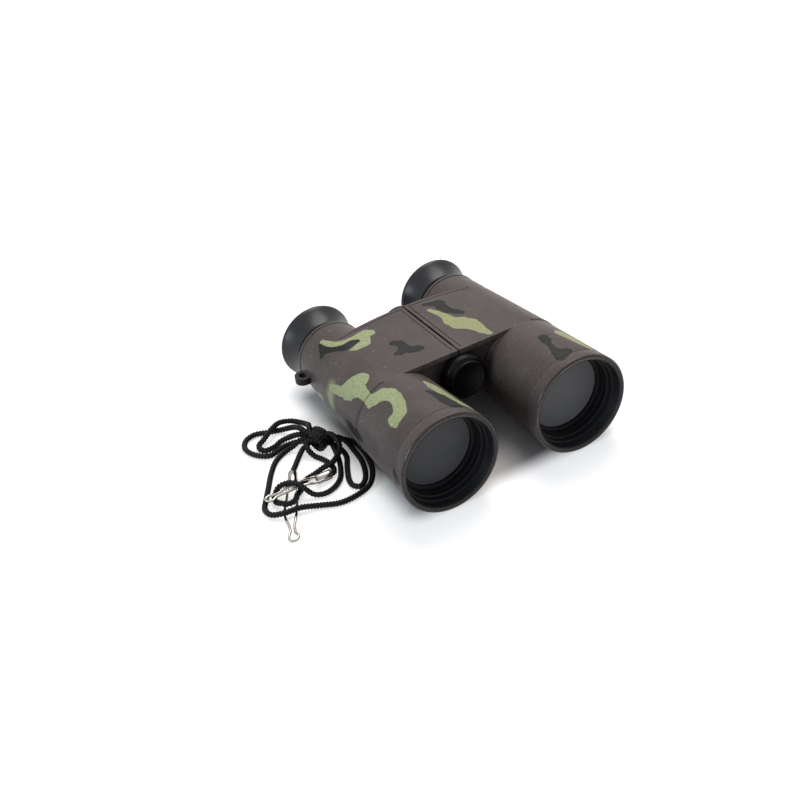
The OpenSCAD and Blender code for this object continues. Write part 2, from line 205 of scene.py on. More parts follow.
def cloud(position, scale, detail=2.0, roughness=0.5):
    return addNode("TexNoise", {"Vector": position, "Scale": scale, "Detail": detail,
                                "Roughness": roughness}).outputs["Fac"]


def bumped(height, strength, depth):
    return addNode("Bump", {"Height": height, "Strength": strength,
                            "Distance": depth * millimetre}).outputs["Normal"]


nowhere = (0, 0, 0)


def newGroup(name, outputs, **inputs):
    # a value of three numbers makes a vector socket, and a single number a plain one
    group = bpy.data.node_groups.new(name, "ShaderNodeTree")
    for way, sockets in (("INPUT", inputs), ("OUTPUT", outputs)):
        for label, value in sockets.items():
            kind = "NodeSocketVector" if isinstance(value, tuple) else "NodeSocketFloat"
            group.interface.new_socket(name=label, in_out=way, socket_type=kind).default_value = value
    group.nodes.new("NodeGroupOutput").name = "result"
    return group, group.nodes.new("NodeGroupInput").outputs


def putOut(group, **values):
    feed(group.nodes["result"], values)
    return group


def useGroup(group, tree=None, **feeds):
    return addNode("Group", feeds, tree, node_tree=group).outputs


def setSurface(paint, **sockets):
    # numbers are set on the shader's own sockets, and patterns are linked to them
    feeds = {key.replace("_", " "): value for key, value in sockets.items()}
    feed(paint.node_tree.nodes["Principled BSDF"], feeds)
    return paint


def newMaterial(name, **sockets):
    paint = bpy.data.materials.new(name)
    paint.use_nodes = True
    return setSurface(paint, **sockets), paint.node_tree


def barrelPosition():
    # object coordinates turned into the barrels' own frame, in millimetres
    group = newGroup("barrelPosition", {"Position": nowhere})[0]
    origin = Vector((0, leftAxisPoint.y, leftAxisPoint.z))
    shift = -(Matrix.Rotation(barrelLean, 3, "X") @ origin) / millimetre
    coordinates = addNode("TexCoord", {}, group).outputs["Object"]
    turned = addNode("Mapping", {"Vector": coordinates, "Location": shift,
                                 "Rotation": (barrelLean, 0, 0), "Scale": (1 / millimetre,) * 3},
                     vector_type="POINT")
    return putOut(group, Position=turned.outputs["Vector"])


def strokeReach():
    # how far a point lies inside a tapering stroke, and less than nothing outside it
    group, given = newGroup("strokeReach", {"Reach": 0.0}, Position=nowhere, Start=nowhere, End=nowhere,
                            StartRadius=1.0, EndRadius=1.0)
    toPoint = vectorCalc("SUBTRACT", given["Position"], given["Start"])
    run = vectorCalc("SUBTRACT", given["End"], given["Start"])
    share = calc("DIVIDE", vectorCalc("DOT_PRODUCT", toPoint, run), vectorCalc("DOT_PRODUCT", run, run))
    share = addNode("Clamp", {"Value": share}).outputs[0]
    gap = vectorCalc("DISTANCE", toPoint, scaled(run, share))
    radius = calc("MULTIPLY_ADD", calc("SUBTRACT", given["EndRadius"], given["StartRadius"]),
                  share, given["StartRadius"])
    return putOut(group, Reach=calc("SUBTRACT", radius, gap))


def grainGroup():
    # fine speckle and slow cloudiness over a moulded or sprayed surface
    group, given = newGroup("grain", {"Fine": 0.0, "Slow": 0.0, "Pits": 0.0}, Position=nowhere, Speckle=2.6,
                            Cloud=0.07)
    pits = addNode("TexVoronoi", {"Vector": given["Position"], "Scale": times(given["Speckle"], 0.8)})
    return putOut(group, Fine=cloud(given["Position"], given["Speckle"], 3.0, 0.65),
                  Slow=cloud(given["Position"], given["Cloud"], 3.0, 0.6),
                  Pits=ramp(pits.outputs["Distance"], 0.1, 0.55))


def dustGroup():
    # small specks, each in its own cell, only in the share of cells that is asked for
    group, given = newGroup("dust", {"Specks": 0.0}, Position=nowhere, Spacing=3.0, Size=0.25, Share=0.2)
    scale = calc("DIVIDE", 1.0, given["Spacing"])
    cells = addNode("TexVoronoi", {"Vector": given["Position"], "Scale": scale})
    tint = addNode("SeparateColor", {"Color": cells.outputs["Color"]}).outputs
    reach = times(cells.outputs["Distance"], given["Spacing"])
    size = times(given["Size"], calc("ADD", tint["Green"], 0.35))
    inside = fade(calc("SUBTRACT", reach, size), -0.06, 0.06)
    chosen = calc("LESS_THAN", tint["Red"], given["Share"])
    return putOut(group, Specks=times(inside, chosen))


def scratchGroup():
    # thin broken lines that run along one direction
    group, given = newGroup("scratches", {"Lines": 0.0}, Position=nowhere, Turn=nowhere, Width=0.06)
    stretched = addNode("Mapping", {"Vector": given["Position"], "Rotation": given["Turn"],
                                    "Scale": (0.9, 0.045, 0.9)}, vector_type="POINT")
    lines = cloud(stretched.outputs["Vector"], 1.0, 2.0)
    thin = fade(awayFrom(lines, 0.5), 0.0, given["Width"])
    broken = ramp(cloud(given["Position"], 0.16, 2.0), 0.58, 0.7)
    return putOut(group, Lines=times(thin, broken))


def rimWearGroup():
    # rubbed paint in a band about one place along the barrels, broken up by noise
    group, given = newGroup("rimWear", {"Rubbed": 0.0}, Position=nowhere, Centre=0.3, Width=0.9, Amount=0.5)
    band = fade(awayFrom(part(given["Position"], "Y"), given["Centre"]), 0.0, given["Width"])
    patchy = ramp(cloud(given["Position"], 0.55, 4.0, 0.6), 0.38, 0.62)
    return putOut(group, Rubbed=times(times(band, patchy), given["Amount"]))


shared = {"position": barrelPosition(), "stroke": strokeReach(), "grain": grainGroup(), "dust": dustGroup(),
          "scratches": scratchGroup(), "rimWear": rimWearGroup()}


def effect(name, position, **values):
    return useGroup(shared[name], Position=position, **values)


def barrelMaterial(name, **sockets):
    # a new material, and the place on the barrels that its pattern follows
    paint, tree = newMaterial(name, **sockets)
    return paint, useGroup(shared["position"], tree)["Position"]


camouflage = {
    "brown": (0.0985, 0.0785, 0.073, 1),
    "brownPale": (0.116, 0.0945, 0.0875, 1),
    "green": {"left": (0.435, 0.478, 0.25, 1), "right": (0.425, 0.445, 0.218, 1)},
    "charcoal": (0.0105, 0.0105, 0.0105, 1),
    "rim": (0.037, 0.019, 0.014, 1),
    "lug": (0.016, 0.013, 0.012, 1),
    # painted shade for the walls of the narrow slot between the plates
    "slot": (0.004, 0.004, 0.004, 1),
    "rubbed": (0.33, 0.28, 0.25, 1),
    "edge": 0.16,  # mm over which one colour gives way to the next
    "trim": {"green": 0.4, "charcoal": 0.15},  # mm taken off every stroke
    "strokeBlend": 0.8,  # mm over which strokes run together
    "wobble": 0.7,
    "overspray": 2.6,
    "oversprayStrength": 0.8,
    "speckle": 1.4,
    "shade": (0.78, 1.22),  # darkest and palest grain
    "pitShade": (0.95, 1.02),
    "ringLine": 96.3,
    "ringLineEdge": (0.12, 0.28),
    "cover": 0.85,  # how fully the ring line, rim and lug colours hide what is under them
    "rimEdge": (0.55, 0.95),
    "rimCoat": 0.35,
    "rimGloss": 0.2,
    "rimInside": (20.4, 20.65),
    "lugOut": (16.1, 16.4),
    "lugStart": (80, 82),
    "slotShadeEdge": (0.4, 0.55),
    # bands of rubbed paint: place along the barrels, half width, strength
    "wear": ((-0.1, 0.3, 0.3), (5.85, 0.34, 0.9), (39.3, 0.3, 0.25), (97.8, 0.35, 0.25)),
    "scratchTurn": (0, 0, 0.5),
    "scratchStrength": 0.12,
    # specks: spacing, size, share of the cells, strength, colour
    "dust": (2.7, 0.22, 0.4, 0.7, (0.55, 0.53, 0.5, 1)),
    "dustHeight": 2.0,
    "rust": (6.5, 0.3, 0.1, 0.6, (0.3, 0.12, 0.09, 1)),
    "rustShift": (3.1, 1.7, 9.3),
    "roughness": (0.4, 0.52),
}

# strokes of each colour as (x, y, z, radius) in the barrels' frame
greenStrokes = {
    "left": [
        [(-37, 87.5, 14, 1.5), (-35.5, 81, 15, 2), (-32.5, 78, 16.5, 2), (-28.5, 78, 16.5, 1.5),
         (-25.5, 77, 17, 2.5), (-22.5, 76, 17.5, 3.5), (-20.5, 75, 17.5, 2.5)],
        [(-23, 75, 17.5, 2.5), (-26.5, 70.5, 17.5, 3.5), (-30.5, 69.5, 17, 2), (-32.5, 70, 17, 1)],
        [(-46, 64.5, 7, 2), (-45.5, 56.5, 9.5, 2.5), (-43.5, 52, 12.5, 5), (-40.5, 49.5, 15.5, 5),
         (-38.5, 48.5, 16.5, 3)],
        [(-43.5, 48, 13.5, 3.5), (-42, 44.5, 14.5, 3), (-42.5, 39.5, 14.5, 2.5), (-43.5, 35.5, 14, 2),
         (-41.5, 35, 16, 3.5), (-38.5, 33.5, 17.5, 3.5), (-37, 31, 18.5, 3.5), (-36.5, 27, 19, 3),
         (-37.5, 22, 18.5, 3), (-40, 18, 18, 3.5), (-42.5, 17.5, 16.5, 3.5)],
        [(-43, 19.5, 15.5, 2), (-43.5, 15, 15.5, 1.5)],
        [(-46, 52.5, 9.5, 2), (-45.5, 47.5, 10.5, 1)],
        [(-21.5, 30, 18, 1.3), (-20.2, 25, 18, 3.2), (-19.7, 19.5, 18, 3), (-18.5, 14, 18, 2.4),
         (-17.5, 9.5, 17.5, 2.6), (-14, 7, 14.5, 2)],
    ],
    "right": [
        [(7, 73.5, 18.5, 1.4), (8.5, 69.5, 18.5, 1.7), (9.5, 65, 18.5, 2.2), (9.5, 60, 18.5, 3.4),
         (11.5, 56.5, 18.5, 4.9), (14, 53.5, 18.5, 4.4), (15, 50, 18.5, 3.4), (15.5, 45.5, 18.5, 2.4),
         (16.5, 42, 18.5, 1.7)],
        [(38.8, 24, 18.5, 3.2), (39.6, 18, 18.3, 2.8), (40.2, 12, 18.3, 2.2), (40.8, 7, 18, 1.4)],
    ],
}
charcoalStrokes = {
    "left": [
        [(-38.5, 87, 13, 1), (-39.5, 82.5, 13, 2), (-41, 81, 12, 1.5)],
        [(-39, 81.5, 13.5, 2), (-36.5, 77, 15.5, 1.5), (-33, 74, 16.5, 2.5), (-29.5, 74.5, 16.5, 2.5),
         (-27.5, 74, 17, 1.5)],
        [(-17.5, 61, 18.5, 2), (-15.5, 59.5, 18.5, 2), (-16, 55, 18.5, 2.5), (-14.5, 52, 18.5, 2.5),
         (-12, 51, 18.5, 2.5), (-10.5, 50.5, 18.5, 1.5)],
        [(-17, 53.5, 18.5, 2.5), (-19.5, 53, 18.5, 2), (-21, 53, 18.5, 1)],
        [(-48.5, 47, 0.5, 2), (-48.8, 43.5, 0, 3), (-49.2, 38.5, 0, 2.5), (-49.6, 34.5, 0, 1.2)],
        [(-51, 6, 2.5, 1.5), (-51.5, 4, 0, 2.5)],
        [(-25.5, 21.5, 19.5, 1.1), (-24, 19, 19.5, 1.8), (-23, 15.5, 19.5, 2.7), (-22.8, 11, 19.3, 3.4),
         (-21.8, 7.6, 19.3, 3.3), (-19.4, 6.4, 19.4, 1.6)],
    ],
    "right": [
        [(8, 78.5, 18, 1.5), (11, 77, 18, 2), (13, 76, 18, 3), (12.5, 72, 18, 2.6),
         (13, 68, 18.5, 2.2), (15, 65, 18.5, 2), (16.5, 63, 18.5, 1.5)],
        [(29.7, 23.5, 20, 2.2), (29.2, 20.5, 20, 2.2), (28.4, 17.5, 20, 1.3), (27.8, 14, 20.5, 1.4),
         (27.4, 10.5, 20.5, 2.4), (27.4, 7.8, 21, 3.3)],
        [(27.4, 7.8, 20.5, 3), (30.2, 8.2, 21, 2.4)],
        [(27, 7.6, 21, 2.6), (25.9, 5.8, 20.5, 1.9)],
    ],
}
# the hidden sides carry more of the same, as (degrees outward from the top, y, radius)
greenRound = {
    "left": [[(168, 58, 3), (180, 64, 4.5), (196, 62, 3.5), (204, 70, 2.5)],
             [(104, 76, 2.5), (118, 82, 4), (132, 78, 3), (146, 84, 2)],
             [(120, 26, 3), (132, 32, 4.5), (146, 28, 4), (158, 34, 2.5)],
             [(200, 18, 3), (218, 24, 4.5), (236, 20, 3)]],
    "right": [[(36, 93, 1.5), (48, 89, 3), (62, 84, 4), (76, 82, 2.5)],
              [(36, 80, 2), (52, 75, 3.5), (66, 68, 3), (80, 62, 4.5), (96, 60, 3)],
              [(74, 34, 3), (88, 28, 4.5), (102, 31, 4), (114, 24, 2.5)],
              [(140, 52, 3), (156, 58, 4.5), (172, 54, 3.5), (184, 62, 2)],
              [(150, 12, 2.5), (164, 17, 4), (180, 14, 3)]],
}
charcoalRound = {
    "left": [[(122, 62, 2.5), (134, 66, 3.5), (148, 62, 2.5)],
             [(156, 12, 2), (170, 16, 3.5), (182, 12, 2)],
             [(190, 44, 2.5), (206, 48, 4), (222, 45, 2.5)],
             [(212, 84, 2), (228, 80, 3)]],
    "right": [[(64, 50, 2.5), (76, 46, 3.5), (88, 49, 3), (98, 44, 2)],
              [(84, 92, 2), (98, 87, 3), (112, 90, 2)],
              [(72, 10, 2), (86, 14, 3.5), (98, 10, 2.5)],
              [(126, 34, 2.5), (140, 38, 3.5), (152, 34, 2)],
              [(190, 78, 2.5), (206, 74, 3.5), (220, 78, 2)],
              [(204, 40, 2.5), (220, 44, 3.5)]],
}
# where paint was sprayed thinly and fades out
fadedStrokes = {
    "left": [[(-46, 64.5, 7, 3), (-47, 64.5, 3.5, 3), (-47.5, 63, 0.5, 2.5)]],
    "right": [],
}

# the housing's radius at two places along it, and how fast it shrinks beyond each
housingTaper = {"front": (21.2, 0.055), "rear": (19.4, 0.076), "step": 39}


def roundBarrel(side, route):
    points = []
    step = housingTaper["step"]
    for turn, y, radius in route:
        start, slope = housingTaper["front" if y < step else "rear"]
        reach = start - slope * (y if y < step else y - step)
        sign = -1 if side == "left" else 1
        points.append((sign * (halfGap + reach * sin(radians(turn))), y, reach * cos(radians(turn)), radius))
    return points


def patchGroup(name, routes):
    # the deepest reach of any stroke of one colour
    group, given = newGroup(name, {"Reach": 0.0}, Position=nowhere)
    deepest = None
    for route in routes:
        for start, end in zip(route, route[1:]):
            reach = effect("stroke", given["Position"], Start=start[:3], End=end[:3],
                           StartRadius=float(start[3]), EndRadius=float(end[3]))["Reach"]
            if deepest is None:
                deepest = reach
            else:
                deepest = calc("SMOOTH_MAX", deepest, reach, camouflage["strokeBlend"])
    return putOut(group, Reach=deepest)


def specked(colour, position, spacing, size, share, strength, tint):
    # the colour with specks of another one, and the mask of the specks
    specks = effect("dust", position, Spacing=spacing, Size=size, Share=share)["Specks"]
    return blendColour(times(specks, strength), colour, tint), specks


def camouflagePaint(side):
    setup = camouflage
    paint, position = barrelMaterial(side + "CamouflagePaint", Specular_IOR_Level=0.155, Coat_Roughness=0.08)
    grain = effect("grain", position, Speckle=setup["speckle"])
    wobble = times(calc("SUBTRACT", cloud(position, 0.5, 3.0), 0.5), setup["wobble"])

    def mask(label, routes, spread, trim):
        reach = useGroup(patchGroup(side + label, routes), Position=position)["Reach"]
        return ramp(calc("ADD", reach, wobble), trim - spread, trim + spread)

    greenRoutes = greenStrokes[side] + [roundBarrel(side, r) for r in greenRound[side]]
    charcoalRoutes = charcoalStrokes[side] + [roundBarrel(side, r) for r in charcoalRound[side]]
    green = mask("Green", greenRoutes, setup["edge"], setup["trim"]["green"])
    dark = mask("Charcoal", charcoalRoutes, setup["edge"], setup["trim"]["charcoal"])
    colour = blendColour(ramp(grain["Slow"], 0.35, 0.65), setup["brown"], setup["brownPale"])
    if fadedStrokes[side]:
        faded = mask("Faded", fadedStrokes[side], setup["overspray"], setup["trim"]["green"])
        faded = times(faded, setup["oversprayStrength"])
        colour = blendColour(faded, colour, setup["green"][side])
    colour = blendColour(green, colour, setup["green"][side])
    colour = blendColour(dark, colour, setup["charcoal"])
    # speckle of the sprayed coat, darker and paler grains
    shade = times(vary(grain["Fine"], *setup["shade"]), ramp(grain["Pits"], 0.0, 1.0, *setup["pitShade"]))
    colour = addNode("Mix", {0: 1.0, 6: colour, 7: shade}, data_type="RGBA", blend_type="MULTIPLY").outputs[2]
    # the ring line near the rear end of each housing
    across, along = part(position, "X"), part(position, "Y")
    line = fade(awayFrom(along, setup["ringLine"]), *setup["ringLineEdge"])
    covers = [(times(line, setup["cover"]), "lug")]
    # rubbed edges at the rims and at both ends of the plates
    rubbed = 0.0
    for centre, width, amount in setup["wear"]:
        here = effect("rimWear", position, Centre=centre, Width=width, Amount=amount)
        rubbed = calc("MAXIMUM", rubbed, here["Rubbed"])
    # the rims are darker and shinier, and darkest on their inner edge
    rim = fade(along, *setup["rimEdge"])
    offAxis = vectorCalc("SUBTRACT", position, (-halfGap if side == "left" else halfGap, 0, 0))
    offAxis = vectorCalc("LENGTH", vectorCalc("MULTIPLY", offAxis, (1, 0, 1)))
    inner = times(rim, fade(offAxis, *setup["rimInside"]))
    covers += [(times(rim, setup["cover"]), "rim"), (inner, "lug")]
    if side == "left":
        # the strap lug stands out from the rear of the left barrel only
        lug = times(ramp(offAxis, *setup["lugOut"]), ramp(along, *setup["lugStart"]))
        lug = times(lug, calc("LESS_THAN", across, -halfGap))
        covers.append((times(lug, setup["cover"]), "lug"))
    # painted shade: the walls of the slot between the plates are painted black
    covers.append((fade(calc("ABSOLUTE", across), *setup["slotShadeEdge"]), "slot"))
    lines = effect("scratches", position, Turn=setup["scratchTurn"])["Lines"]
    covers.append((calc("MAXIMUM", rubbed, times(lines, setup["scratchStrength"])), "rubbed"))
    for cover, tint in covers:
        colour = blendColour(cover, colour, setup[tint])
    colour, dust = specked(colour, position, *setup["dust"])
    elsewhere = vectorCalc("ADD", position, setup["rustShift"])
    colour = specked(colour, elsewhere, *setup["rust"])[0]
    rough = calc("SUBTRACT", vary(grain["Fine"], *setup["roughness"]), times(rim, setup["rimGloss"]))
    height = calc("ADD", grain["Fine"], times(dust, setup["dustHeight"]))
    return setSurface(paint, Base_Color=colour, Roughness=rough, Normal=bumped(height, 0.25, 0.03),
                      Coat_Weight=times(rim, setup["rimCoat"]))


def blackPlastic(name, base, worn, rough, dust, shine, ripple=None, neck=None):
    # moulded black: gloss or matt by its roughness, with faint wear and dust, and painted shade at the narrow
    # end when a neck is given
    paint, position = barrelMaterial(name, Specular_IOR_Level=shine)
    grain = effect("grain", position, Speckle=3.4, Cloud=0.11)
    colour = blendColour(ramp(grain["Slow"], 0.3, 0.75), base, worn)
    lines = effect("scratches", position, Turn=(0.3, 0, 1.1), Width=0.04)["Lines"]
    colour = blendColour(times(lines, 0.05), colour, (0.2, 0.2, 0.21, 1))
    colour = specked(colour, position, 2.2, 0.13, dust, 0.35, (0.35, 0.35, 0.35, 1))[0]
    gloss = calc("ADD", vary(grain["Fine"], *rough), times(lines, 0.08))
    if neck:
        # painted shade: the narrow end is painted near black where the housing shades it, and is kept rough
        # there
        paintedNeckShade = fade(part(position, "Y"), *neck)
        colour = blendColour(paintedNeckShade, colour, (0.001, 0.001, 0.001, 1))
        gloss = calc("MAXIMUM", gloss, times(paintedNeckShade, 0.95))
    height = grain["Fine"]
    if ripple:
        # fine turned rings, this many millimetres apart
        rings = calc("SINE", times(part(position, "Y"), 2 * pi / ripple))
        height = calc("ADD", height, times(rings, 0.8))
    return setSurface(paint, Base_Color=colour, Roughness=gloss, Normal=bumped(height, 0.2, 0.02))


def smokedLens(name, base, hazy, rough, shine, rightPaintedLight=None):
    # smoked glass seen against the dark barrel behind it
    paint, position = barrelMaterial(name, IOR=1.5, Specular_IOR_Level=shine)
    haze = cloud(position, 0.09, 2.0)
    colour = blendColour(vary(haze, 0.0, 1.0), base, hazy)
    # painted light: the right lens is painted paler, standing in for the brighter light it shows
    if rightPaintedLight:
        colour = blendColour(ramp(part(position, "X"), -1.0, 1.0), colour, rightPaintedLight)
    colour = specked(colour, position, 2.6, 0.12, 0.12, 0.4, (0.3, 0.3, 0.3, 1))[0]
    return setSurface(paint, Base_Color=colour, Roughness=vary(haze, *rough))


def metalPlate(name, base, tint, rough):
    paint, position = barrelMaterial(name, Metallic=1.0)
    grain = effect("grain", position, Speckle=5.0, Cloud=0.35)
    finer = vectorCalc("MULTIPLY", position, (3, 3, 3))
    lines = effect("scratches", finer, Turn=(0, 0, 1.0), Width=0.1)["Lines"]
    colour = blendColour(ramp(grain["Slow"], 0.35, 0.7), base, tint)
    gloss = calc("ADD", vary(grain["Fine"], *rough), times(lines, 0.15))
    return setSurface(paint, Base_Color=colour, Roughness=gloss, Normal=bumped(grain["Fine"], 0.15, 0.01))


def braidedBlack(name, gap, crown, fibre, rough, shine):
    # painted light: the strands' crowns are painted paler as a highlight, and the gaps between them darker as
    # shade
    paint, tree = newMaterial(name, Specular_IOR_Level=shine)
    position = scaled(addNode("TexCoord", {}, tree).outputs["Object"], 1 / millimetre)
    raised = addNode("Attribute", {}, tree, attribute_name="crown").outputs["Fac"]
    fuzz = cloud(position, 7.0, 3.0, 0.7)
    colour = blendColour(ramp(raised, 0.6, 1.0), gap, crown)
    colour = blendColour(ramp(fuzz, 0.5, 0.75, 0.0, 0.3), colour, fibre)
    return setSurface(paint, Base_Color=colour, Roughness=vary(fuzz, *rough), Normal=bumped(fuzz, 0.5, 0.08))


# rough is the least and the most roughness, dust the share of cells with a speck, shine the specular level,
# neck where painted shade darkens the cup's narrow end
blacks = {
    "glossBlack": {"base": (0.012, 0.0125, 0.014, 1), "worn": (0.018, 0.0185, 0.021, 1),
                   "rough": (0.3, 0.38), "dust": 0.12, "shine": 0.3},
    "cupBlack": {"base": (0.022, 0.023, 0.027, 1), "worn": (0.029, 0.03, 0.035, 1),
                 "rough": (0.29, 0.35), "dust": 0.1, "shine": 0.3, "neck": (101.7, 102.4)},
    "hingeBlack": {"base": (0.003, 0.003, 0.0034, 1), "worn": (0.005, 0.005, 0.0057, 1),
                   "rough": (0.28, 0.36), "dust": 0.3, "shine": 0.1},
    "mattBlack": {"base": (0.009, 0.0094, 0.0112, 1), "worn": (0.013, 0.0135, 0.016, 1),
                  "rough": (0.42, 0.54), "dust": 0.08, "shine": 0.16, "ripple": 0.5},
}
finish = {side + "Paint": camouflagePaint(side) for side in ("left", "right")}
finish.update({name: blackPlastic(name, **setup) for name, setup in blacks.items()})
finish.update({
    "lens": smokedLens("frontLens", (0.25, 0.25, 0.262, 1), (0.28, 0.275, 0.288, 1), (0.5, 0.58), 0.2,
                       rightPaintedLight=(0.4, 0.395, 0.405, 1)),
    "ocular": smokedLens("ocularLens", (0.012, 0.012, 0.013, 1), (0.018, 0.018, 0.02, 1), (0.08, 0.14), 0.6),
    "steel": metalPlate("brightSteel", (0.6, 0.6, 0.6, 1), (0.45, 0.44, 0.43, 1), (0.22, 0.34)),
    "nickel": metalPlate("nickelPlate", (0.41, 0.39, 0.365, 1), (0.29, 0.27, 0.25, 1), (0.1, 0.16)),
    # painted shade in the gaps and painted highlight on the crowns
    "cord": braidedBlack("braidedBlack", (0.0008, 0.0008, 0.001, 1), (0.02, 0.021, 0.026, 1),
                         (0.028, 0.029, 0.033, 1), (0.38, 0.56), 0.16),
})


def paintPiece(piece, material):
    piece.data.materials.clear()
    piece.data.materials.append(finish[material])


def dressPiece(piece, name, node, material):
    # the piece stands for one node, and rides on its body
    piece.name = name
    paintPiece(piece, material)
    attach(piece, bodyOf[node])
    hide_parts(node)


print("materials mixed")

cordSetup = {
    "diameter": 2.5,  # mm, as the other measures here
    "length": 0.64,  # metres, from clip to clip
    "ringStep": 0.22,
    "sides": 20,
    "strandsAround": 3,
    "strandPitch": 2.5,
    "strandRise": 0.38,
    "strandRound": 0.65,
    "strandSwell": 1.04,
    "resting": 1.2,  # height of the centre line on the table
    "knotCentre": (-55.4, 7.6, 5.35),
    "knotDirection": -31,  # degrees
    "wrapDirection": 31,
    "wrapAcross": 3.6,
    "wrapUp": 3.2,
    "wrapSwell": 0.15,
    "wrapTurns": 3.4,
    "wrapSteps": 12,
    "wrapStart": 62,
    "wrapReach": 2.9,
    "wrapSkew": 1.0,
    "wrapLag": 0.9,
    "wrapDrop": 0.5,
}
# a point without a height rests on the table
cordStretches = {
    "fromLeftFerrule": [
        (-74.4, -5.1, 2), (-73, -2.5, 2), (-71.7, -0.4, 1.7), (-69.6, 2.2), (-66, 6, 1.4),
        (-63, 8.2, 2.4), (-60.2, 9, 3.2)],
    "outerLoop": [
        (-50.6, 6.2, 3.2), (-46.5, 5.2, 2), (-43, 1.5), (-42.4, -5), (-43.4, -12.5), (-46.4, -20.5),
        (-51.2, -26.2), (-58, -28.5), (-65.5, -28.5), (-72.5, -25.5, 1.4), (-80, -23, 2.3),
        (-87, -22, 2.3), (-91, -19, 1.5), (-91.5, -14.5), (-88.5, -9.5), (-84.5, -3.5), (-79.5, 4),
        (-74.5, 9.6), (-69, 12.6), (-65, 12.4, 2.6), (-62.5, 11.6, 4.6), (-59.6, 10.1, 5.4)],
    "innerRing": [
        (-51.9, 4, 3.2), (-49.6, 0, 1.6), (-49.8, -5), (-53, -11.5), (-56, -18.5), (-56.4, -22.4),
        (-54.3, -24.6), (-51.3, -22.8), (-48.8, -19), (-46.2, -11.5), (-45.4, -3.5), (-46, 1, 2.8),
        (-48.2, 3.6, 4.8), (-51.3, 5.1, 5.4)],
    "leftLoop": [
        (-58.9, 11.2, 7.8), (-59.6, 15.4, 7.4), (-60, 19, 5.8), (-60.8, 23, 3.4), (-63.5, 26, 1.7),
        (-69, 28.6), (-74.5, 30.5), (-79, 29), (-81.4, 25), (-81, 20.5), (-78.5, 16.5), (-75, 14.2),
        (-71.5, 14.8), (-68, 16), (-64.5, 16), (-61.6, 13.6, 2.4), (-58.9, 11.2, 3.2)],
    "upperLoop": [
        (-58, 12.6, 5.2), (-61.6, 15.8, 4.6), (-64.5, 18.8, 2.4), (-67.5, 19.6, 1.4), (-70.3, 18.4),
        (-72.5, 18), (-75, 18.2), (-76.6, 20, 1.4), (-76, 22.5, 1.6), (-73, 24, 2.2), (-70, 25.2, 3.6),
        (-66.5, 27, 4.1), (-62.8, 29.4, 3), (-58.5, 28.5, 2.4), (-56, 25, 2.8), (-55, 19, 5),
        (-56.2, 14, 7.6)],
    "innerLoop": [
        (-53, 3, 5), (-52.6, -0.6, 3.4), (-53.4, -5, 1.8), (-55.4, -10.4), (-58.6, -15.8), (-63.2, -19.2),
        (-68, -20), (-71.8, -18.6, 1.8), (-74, -16.5, 4), (-75.6, -14, 5.6), (-77.4, -11.6, 5.7),
        (-79.6, -9.8, 5.1), (-82.3, -8.8, 3.8), (-85, -10, 1.4), (-86, -13, 1.3), (-85.2, -16, 2.3),
        (-82.8, -18.2, 2.3), (-79.8, -18, 2.4), (-77.6, -15.6, 2.4), (-75, -13.5, 1.95),
        (-72.3, -10.1, 1.6), (-69.4, -7.9), (-65.5, -7.5, 1.6), (-62, -7.8, 3), (-58, -8, 3.8),
        (-54.5, -6, 4), (-51.6, -3.5, 5), (-50.6, -0.5, 6.6), (-51.5, 4.2, 7.7)],
    "toRightFerrule": [
        (-60.8, 8, 5.4), (-61.6, 5.6, 3.6), (-60.4, 2.8, 1.4), (-58.8, -0.5), (-57.7, -4), (-57.6, -8),
        (-58.8, -11, 1.6), (-61, -11.8, 2), (-65, -11.8, 2)],
}


def flatAxes(degrees):
    turn = radians(degrees)
    return Vector((cos(turn), sin(turn), 0)), Vector((-sin(turn), cos(turn), 0)), Vector((0, 0, 1))


def knotPoint(along, across, up):
    x, y, z = flatAxes(cordSetup["knotDirection"])
    return Vector(cordSetup["knotCentre"]) + x * along + y * across + z * up


def wrapPoints(setup):
    # turns that lean over each other and swell as the cord is wound on
    steps = round(setup["wrapTurns"] * setup["wrapSteps"])
    x, y, z = flatAxes(setup["wrapDirection"])
    centre = Vector(setup["knotCentre"]) - z * setup["wrapDrop"]
    points = []
    for i in range(steps + 1):
        share = i / steps
        angle = radians(setup["wrapStart"] + 360 * setup["wrapTurns"] * share)
        swell = 1 + setup["wrapSwell"] * share
        along = setup["wrapReach"] * (2 * share - 1)
        lean = setup["wrapSkew"] * cos(angle + setup["wrapLag"] * share)
        points.append(centre + x * (along + lean) + y * setup["wrapAcross"] * swell * cos(angle)
                      + z * setup["wrapUp"] * swell * sin(angle))
    return points


def cordRoute():
    s = {name: [Vector((*p, cordSetup["resting"])[:3]) for p in points]
         for name, points in cordStretches.items()}
    return (s["fromLeftFerrule"] + [knotPoint(0, 1.2, -1.2)] + s["outerLoop"]
            + [knotPoint(0, -1.2, -1.2)] + s["innerRing"] + [knotPoint(0, 1.2, 1.2)]
            + s["leftLoop"] + [knotPoint(-0.8, 0.3, 0.6)] + s["upperLoop"]
            + wrapPoints(cordSetup) + s["innerLoop"][1:] + [knotPoint(0, -1.2, 1.2)]
            + s["toRightFerrule"])


def between(p, q, start, end, u):
    return p * ((end - u) / (end - start)) + q * ((u - start) / (end - start))


